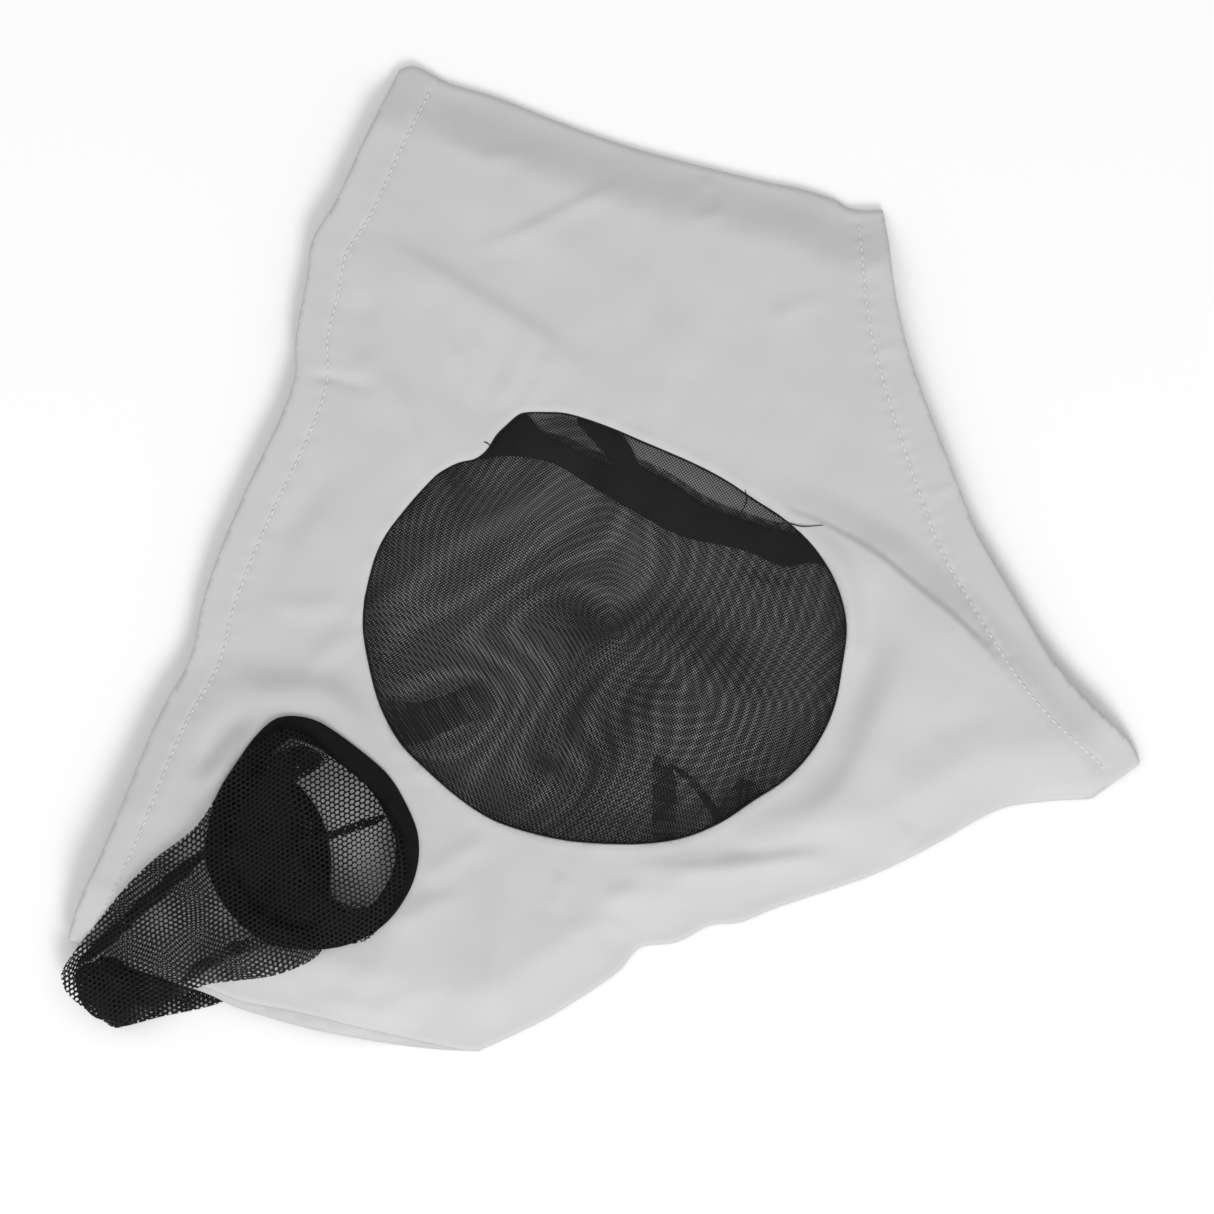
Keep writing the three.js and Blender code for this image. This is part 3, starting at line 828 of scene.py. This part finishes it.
near_neck_stitches = stitches("near_neck_stitches", neck_stitches, near_height, 0.66,
                              "near_neck_stitching")
near_nose_stitches = stitches("near_nose_stitches", nose_stitches, near_height, 0.66,
                              "near_nose_stitching")
off_neck_stitches = stitches("off_neck_stitches", neck_stitches, off_height, 0.5,
                             "off_neck_stitching")
off_nose_stitches = stitches("off_nose_stitches", nose_stitches, off_height, 0.5,
                             "off_nose_stitching")


def strip(name, line, to, height, thickness, material, node):
    """A strip of cloth from one line to another, both with as many points."""
    across = np.linspace(0, 1, 12)[:, None, None]
    flat = line * (1 - across) + to * across
    rows, n = flat.shape[:2]
    P = flat.reshape(-1, 2)
    faces = [(r * n + i, r * n + i + 1, (r + 1) * n + i + 1, (r + 1) * n + i)
             for r in range(rows - 1) for i in range(n - 1)]
    obj = add_mesh(name, np.column_stack([P, height(P)]), faces, material)
    thicken(obj, thickness)
    put(obj, node)
    return obj


# The turned hem: its fold and its raw edge from the mouth, and its distance from the panel.
HEM_FOLD, HEM_DEPTH, HEM_UNDER = 0.9, 16.5, 0.75


def hem_strip(name, points, height, by, node):
    """The turned allowance, inside the panel along a mouth."""
    line = resample(points, 3.0)[4:-4]
    n = normals(line)
    return strip(name, line + n * HEM_FOLD, line + n * HEM_DEPTH, lambda P: height(P) + by, 0.5,
                 knit_inside, node)


hems = [
    hem_strip("near_neck_hem_turned", neck_edge, near_height, -HEM_UNDER, "near_neck_hem"),
    hem_strip("near_nose_hem_turned", nose_edge, near_height, -HEM_UNDER, "near_nose_hem"),
    hem_strip("off_neck_hem_turned", neck_edge, off_height, HEM_UNDER, "off_neck_hem"),
    hem_strip("off_nose_hem_turned", nose_edge, off_height, HEM_UNDER, "off_nose_hem"),
]


def seam_strip(name, points, node):
    """The overlocked allowance between the panels."""
    line = resample(points, 3.0)[1:-1]
    n = normals(line)
    half_way = lambda P: (near_height(P) + off_height(P)) / 2
    return strip(name, line + n * 1.8, line + n * 6.3, half_way, 0.5, stitch.material,
                 node)


seams = [seam_strip("jaw_overlock", jaw_edge, "jaw_seam"),
         seam_strip("topline_overlock", topline, "topline_seam")]

# --- Eye panels ---
EYE_SAG, SAG_SLOPE = 4.5, 45.0


def near_mesh_height(P):
    d = np.where(inside(P, eye_hole), 1, -1) * beside(P, closed_line(eye_hole))[0]
    sag = 0.75 + EYE_SAG * smooth(d / SAG_SLOPE)
    seam = np.minimum(beside(P, jaw_edge)[0], beside(P, topline)[0])
    base = ground(P) + 3.25 + LOFT * smooth(seam / LOFT_SLOPE)
    blend = smooth((d + 1) / 14)
    folds = sum(ridge(P, *w) for w in MESH_FOLDS) + 0.5 * waves(P, 31, 30)
    return near_height(P) * (1 - blend) + base * blend - sag + folds * smooth(d / 12)


def density(P, rows):
    """How much some lines change a net, fading off to the sides and towards the ends: (share,
    width, points).
    """
    out = np.zeros(len(P))
    for share, width, line in rows:
        d, _, t = beside(P, spline(line, 5))
        ends = smooth(t / 0.3) * smooth((1 - t) / 0.3)
        out += share * np.exp(-((d / width) ** 2)) * ends
    return out


MESH_TURN = 32.0
# How far apart the beat lines of the two eye nets are, by direction from their middle.
BEAT_CENTRE = np.array([4.0, -36.0])
BEAT_ANGLES = [-180, -160, -110, -75, -45, 0, 45, 90, 120, 160, 180]
BEAT_SPACING = [2.8, 2.7, 3.1, 4.5, 6.5, 3.2, 3.0, 4.5, 4.2, 3.0, 2.8]


def beats(P):
    """How the off net's threads run out of step with the near net's, in threads."""
    rel = (P - BEAT_CENTRE) * (0.9, 1.1)
    r = np.linalg.norm(rel, axis=1)
    angle = np.degrees(np.arctan2(rel[:, 1], rel[:, 0]))
    first = r / np.interp(angle, BEAT_ANGLES, BEAT_SPACING) + 0.9 * waves(P, 71, 70)
    across = (P - BEAT_CENTRE) @ (0.90, -0.44)
    second = 25 * np.logaddexp(0, across / 25) / 6.5 + 0.9 * waves(P, 72, 75)
    return np.stack([first, second], axis=1)


# Where the near eye net's threads are widened, so it looks darker: (share, width, points). Along
# its folds this is bunched net together with painted shade in the folds. The wide band at the upper
# left darkens that corner, and the band along the left edge is painted shade from the cloth beside
# it. The one negative share narrows the threads for a painted highlight.
NEAR_DENSE_AND_SHADE = [
    (0.60, 9, [(-45, -8), (-33, -14), (-4, -34), (20, -32), (35, -33), (59, -49), (82, -64),
               (95, -72)]),
    (0.60, 7, [(4, -30), (-3, -52), (-13, -76), (-30, -105), (-50, -138)]),
    (0.65, 7, [(34, -44), (22, -66), (11, -82), (-4, -108), (-19, -142)]),
    (0.50, 2.5, [(66, -4), (75, -8), (89, -12), (99, -13)]),
    (0.30, 14, [(-50, 62), (-62, 44), (-86, 28), (-105, 5)]),
    (-0.25, 7, [(20, 20), (17, 8), (14, -14), (12, -26)]),
    (0.45, 8, [(-110, 10), (-117, -20), (-117, -50), (-110, -75), (-98, -95)]),
]
OFF_DENSE = [(0.25, 5, [(-20, 50), (-5, 44), (8, 40)])]
# Folded-over places of the off net: outline, how dense it is, where along X it thins out.
OFF_FOLDS = [
    ([(-108, -71), (-93, -72), (-76, -67), (-63, -61), (-53, -53), (-47, -60), (-46, -77),
      (-53, -78), (-66, -82), (-80, -87), (-93, -93), (-104, -90)], 0.3, -84),
    ([(26, -99), (33, -103), (37, -114), (35, -139), (26, -142), (25, -120)], 0.2, 99),
    ([(70, -110), (80, -117), (68, -128), (56, -132), (60, -121)], 0.3, 99),
    ([(33, -103), (36, -103), (46, -110), (55, -121), (62, -133), (58, -134), (51, -122),
      (43, -112)], 0.4, 99),
    ([(-35, 67), (-27, 70), (-13, 69), (9, 44), (-11, 52), (-20, 56), (-28, 60)], -0.15, 99),
]


def net_layer(loop, height, shift, dense_and_shade, spacing=2.2):
    """One layer of eye net: points, faces, texture coordinates and density."""
    P, faces = triangulate([loop], spacing)
    uv = turned(P, MESH_TURN, MESH_PITCH) + shift(P)
    return np.column_stack([P, height(P)]), faces, uv, dense_and_shade(P)


def eye_net(name, layers, node):
    points, faces, uv = gather([layer[:3] for layer in layers])
    obj = add_mesh(name, points, faces, eye_mesh, uv,
                   {"dense_and_shade": np.concatenate([layer[3] for layer in layers])})
    put(obj, node)
    return obj


def off_mesh_height(P):
    return off_height(P) + 0.55 + 0.3 * (1 + waves(P, 33, 40))


near_mesh = eye_net("near_eye_net", [net_layer(
    inset(eye_hole, -4), near_mesh_height, lambda P: 0 * P,
    lambda P: density(P, NEAR_DENSE_AND_SHADE))], "near_eye_mesh")
off_layers = [net_layer(inset(off_eye_hole, -4), off_mesh_height, beats,
                        lambda P: density(P, OFF_DENSE))]
for n, (loop, dense_and_shade, thins) in enumerate(OFF_FOLDS):
    loop = spline(loop, 3, True)
    off_layers.append(net_layer(
        loop, lambda P: off_mesh_height(P) + 0.8, lambda P, n=n: 0.7 * beats(P) + 0.4 * n,
        lambda P, dense_and_shade=dense_and_shade, thins=thins: dense_and_shade - (dense_and_shade + 0.8) * smooth(
            (P[:, 0] - thins) / 38), 1.6))
off_mesh = eye_net("off_eye_net", off_layers, "off_eye_mesh")

# The off eye's seam allowance: a doubled black strip under its upper edge.
BANDS = [
    [(-62, 50), (-52, 62), (-43, 72), (-37, 71), (-28, 61), (-20, 58), (-11, 53), (4, 46.5),
     (17, 46.5), (29, 41), (40, 34.5), (49, 28), (65, 21), (87, 14.5), (99, 11), (113, 5),
     (115, -5), (104, -2), (90, -4), (70, 4.5), (40, 11), (17, 23), (-3, 34.5), (-23, 47),
     (-41, 51), (-52, 51)],
    [(-13, 70), (6, 65), (18, 47), (10, 43), (-2, 56)],
]


def seam_band(name):
    parts = []
    for n, loop in enumerate(BANDS):
        P, faces = triangulate([spline(loop, 3, True)], 2.6)
        lift = 1.9 + 0.3 * waves(P, 35, 14) + 0.9 * n
        parts.append((np.column_stack([P, off_height(P) + lift]), faces, turned(P, 75, 1.0)))
    points, faces, uv = gather(parts)
    return add_mesh(name, points, faces, cord_black.material, uv)


def binding(name, hole, height, lift, radius, node):
    line = resample(hole, 1.5, True)
    wobble = 0.12 * waves(line, 41, 9)
    line = line - normals(line, True) * wobble[:, None]
    points, faces, uv = tube(on_cloth(line, height, lift), radius, 8, closed=True)
    obj = add_mesh(name, points, faces, cord_black.material, uv)
    put(obj, node)
    return obj


near_binding = binding("near_eye_cord", inset(eye_hole, 0.5), near_height, -0.15, 0.62,
                       "near_eye_binding")
off_binding = binding("off_eye_cord", inset(off_eye_hole, 0.5), off_height, 0.0, 0.6,
                      "off_eye_binding")
off_band = seam_band("off_eye_seam_band")
thicken(off_band, 0.8)
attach(off_band, "root")

# Short ends of sewing thread at the near eye's seam.
THREAD_ENDS = [
    [(71, 34.5), (71.6, 28), (68, 21)],
    [(84, 17), (92, 17.6), (99, 16), (110, 16.6)],
    [(-59, 58), (-57.5, 57.6), (-55.5, 56)],
    [(-109, -47), (-111.5, -51), (-112, -55.5)],
]
thread_parts = [tube(on_cloth(spline(line, 6), near_height, 0.55), 0.3, 6, taper=True)
                for line in THREAD_ENDS]
points, faces, uv = gather(thread_parts)
thread_ends = add_mesh("sewing_thread_ends", points, faces, cord_black.material,
                       uv)
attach(thread_ends, "root")

# --- Ear rims: ribbed bands ---
RIM_THICKNESS = 2.3


def rim_band(name, outer, width, height, lift, node):
    outer = resample(outer, 2.2, True)
    middle = inset(outer, width / 2)
    middle = spline(resample(middle, 8, True), 4, True)
    middle = resample(middle, 2.2, True)
    across = inset(middle, 1) - middle
    across /= np.linalg.norm(across, axis=1)[:, None]
    n, m = len(middle), 20
    a = np.linspace(0, 2 * math.pi, m, endpoint=False)
    u = np.sign(np.cos(a)) * np.abs(np.cos(a)) ** 0.45 * width / 2
    w = np.sign(np.sin(a)) * np.abs(np.sin(a)) ** 0.7 * RIM_THICKNESS / 2
    P = (middle[:, None] - across[:, None] * u[None, :, None]).reshape(-1, 2)
    z = height(P) + lift + np.tile(w, n) + 0.25 * waves(P, 51, 12)
    faces = [(i * m + k, ((i + 1) % n) * m + k, ((i + 1) % n) * m + (k + 1) % m,
              i * m + (k + 1) % m) for i in range(n) for k in range(m)]
    uv = np.stack([np.repeat(np.arange(n) * 2.2 / 1.5, m), np.tile(u, n)], axis=1)
    obj = add_mesh(name, np.column_stack([P, z]), faces, rib.material, uv)
    put(obj, node)
    return obj


near_rim = rim_band("near_ear_band", EAR_RIM, RIM_WIDTH, near_height, 1.5, "near_ear_rim")
off_rim = rim_band("off_ear_band", off_ear_rim, 11.5, lambda P: ground(P) * 0.7, 0.4,
                   "off_ear_rim")

# --- Ear covers: soft net pockets ---
rim_inner = inset(EAR_RIM, RIM_WIDTH)


def pouch_base(P):
    """What the near pocket lies on: the panel, and past its edge the surface below."""
    out = np.where(inside(P, near_outline), 0, beside(P, closed_line(near_outline))[0])
    return near_height(P) * (1 - 0.62 * smooth(out / 38)) + 0.5


def over_rim(P):
    """The rim's thickness, where the pocket is folded back over it."""
    band = inside(P, inset(EAR_RIM, -1.5)) & ~inside(P, inset(EAR_RIM, RIM_WIDTH + 1.5))
    edge_away = np.minimum(beside(P, closed_line(EAR_RIM))[0] + 1.5,
                           beside(P, closed_line(rim_inner))[0] + 1.5)
    x, y = (P - near_ear).T
    folded = smooth((-x - 0.35 * y - 8) / 14)
    return np.where(band, 2.9 * smooth(edge_away / 3.0), 0) * folded


def pillow(P, loop, reach, height):
    d = beside(P, closed_line(loop))[0]
    return height * np.sqrt(1 - (1 - np.clip(d / reach, 0, 1)) ** 2)


POUCH_AXIS = np.array([-118.0, -82.0])


def to_tip(P):
    return np.clip(((P - near_ear) @ POUCH_AXIS) / (POUCH_AXIS @ POUCH_AXIS), 0, 1)


# Lengthwise pleats: (height, width left, width right, points).
POUCH_FOLDS = [
    (2.2, 5, 5, [(-190, -138), (-219, -163), (-246, -188), (-262, -202)]),
    (1.8, 6, 4, [(-165, -192), (-189, -196), (-208, -210)]),
    (-1.2, 6, 6, [(-178, -150), (-205, -172), (-232, -196)]),
    (2.0, 5, 5, [(-155, -140), (-130, -138), (-106, -129)]),
    (1.5, 4, 4, [(-144, -176), (-128, -160), (-112, -150)]),
    (1.6, 4, 4, [(-262, -210), (-248, -206), (-232, -212)]),
]


# How far the pocket stands up at the rim, and how much of that is gone at its tip.
POUCH_LOFT, POUCH_FALL = 13.0, 7.0


def upper_height(P):
    loft = POUCH_LOFT - POUCH_FALL * to_tip(P)
    relief = sum(ridge(P, *w) for w in POUCH_FOLDS) + 0.4 * waves(P, 61, 20)
    calm = smooth(beside(P, closed_line(pouch_upper))[0] / 8)
    return (pouch_base(P) + 0.7 + np.maximum(over_rim(P), 0) + pillow(P, pouch_upper, 26, loft)
            + relief * calm)


def lower_height(P):
    return pouch_base(P) + 0.35 + over_rim(P) + 0.12 * pillow(P, pouch_upper, 26, 6)


def tucked(share):
    return lambda P: lower_height(P) * (1 - share) + upper_height(P) * share


NET_TURN = 35.0


def net_sheet(loop, height, degrees, spacing=2.6, open_rows=(), open_base=1.0):
    P, faces = triangulate([loop], spacing)
    warp = 0.6 * np.stack([waves(P, 63, 34), waves(P, 64, 34)], axis=1)
    uv = turned(P + warp, degrees, NET_PITCH)
    size = open_base + density(P, open_rows)
    return np.column_stack([P, height(P)]), faces, uv, size


def ribbon(line, half):
    line = resample(spline(line, 5), 3.0)
    n = normals(line)
    w = half * np.clip(np.sin(np.linspace(0.12, math.pi - 0.12, len(line))) * 1.6, 0, 1)[:, None]
    return np.vstack([line + n * w, (line - n * w)[::-1]])


def net_object(name, sheets, node):
    parts = [(p, f, uv) for p, f, uv, _ in sheets]
    points, faces, uv = gather(parts)
    obj = add_mesh(name, points, faces, ear_net, uv,
                   {"open": np.concatenate([s[3] for s in sheets])})
    put(obj, node)
    return obj


PLEAT = [(-192, -142), (-206, -153), (-222, -167), (-246, -189), (-262, -203)]
PLEAT_SHORT = [(-160, -190), (-178, -192), (-192, -198), (-210, -211)]
PLEAT_RING = [(-152, -142), (-134, -137), (-120, -132), (-105, -127)]
TIP = spline([(-262, -205), (-252, -200), (-243, -198), (-236, -204), (-231, -213), (-235, -225),
              (-249, -230), (-259, -222)], 4, True)
BRIGHT = [(0.15, 11, [(-128, -150), (-116, -148), (-104, -146)]),
          (0.10, 9, [(-118, -165), (-112, -160), (-106, -158)])]
near_net = net_object("near_ear_pocket", [
    net_sheet(pouch_upper, upper_height, NET_TURN, 2.4, BRIGHT, 1.08),
    net_sheet(pouch_lower, lower_height, NET_TURN + 4, 3.0, (), 1.25),
    net_sheet(pouch_tuck, tucked(0.3), NET_TURN + 11, 3.2, (), 0.5),
    net_sheet(inset(pouch_tuck, 3), tucked(0.6), NET_TURN - 9, 3.2, (), 0.5),
    net_sheet(ribbon(PLEAT, 3.5), tucked(0.88), NET_TURN - 6, 2.4, (), 0.7),
    net_sheet(ribbon(PLEAT, 3.2), tucked(0.76), NET_TURN + 8, 2.4, (), 0.7),
    net_sheet(ribbon(PLEAT_SHORT, 3.2), tucked(0.85), NET_TURN + 7, 2.4, (), 0.8),
    net_sheet(ribbon(PLEAT_RING, 2.2), tucked(0.85), NET_TURN - 12, 2.0, (), 0.9),
    net_sheet(ribbon(PLEAT_RING, 1.9), tucked(0.7), NET_TURN + 14, 2.0, (), 0.9),
    net_sheet(TIP, tucked(0.85), NET_TURN + 10, 2.4, (), 0.7),
    net_sheet(TIP, tucked(0.6), NET_TURN - 14, 2.4, (), 0.7),
], "near_ear_net")

off_net = net_object("off_ear_pocket", [
    net_sheet(off_pouch, lambda P: 0.35 + 0 * P[:, 0], NET_TURN - 3, 3.0),
    net_sheet(off_pouch, lambda P: 0.5 + pillow(P, off_pouch, 12, 1.8), NET_TURN + 6, 3.0),
], "off_ear_net")

# --- Floor ---
floor_mesh = bpy.data.meshes.new("floor")
FLOOR = 6.0
floor_mesh.from_pydata([(-FLOOR, -FLOOR, 0), (FLOOR, -FLOOR, 0), (FLOOR, FLOOR, 0),
                        (-FLOOR, FLOOR, 0)], [], [(0, 1, 2, 3)])
floor_mesh.materials.append(paper.material)
floor = bpy.data.objects.new("floor", floor_mesh)
floor.location = (0, 0, -0.0003)
scene.collection.objects.link(floor)

bpy.context.view_layer.update()
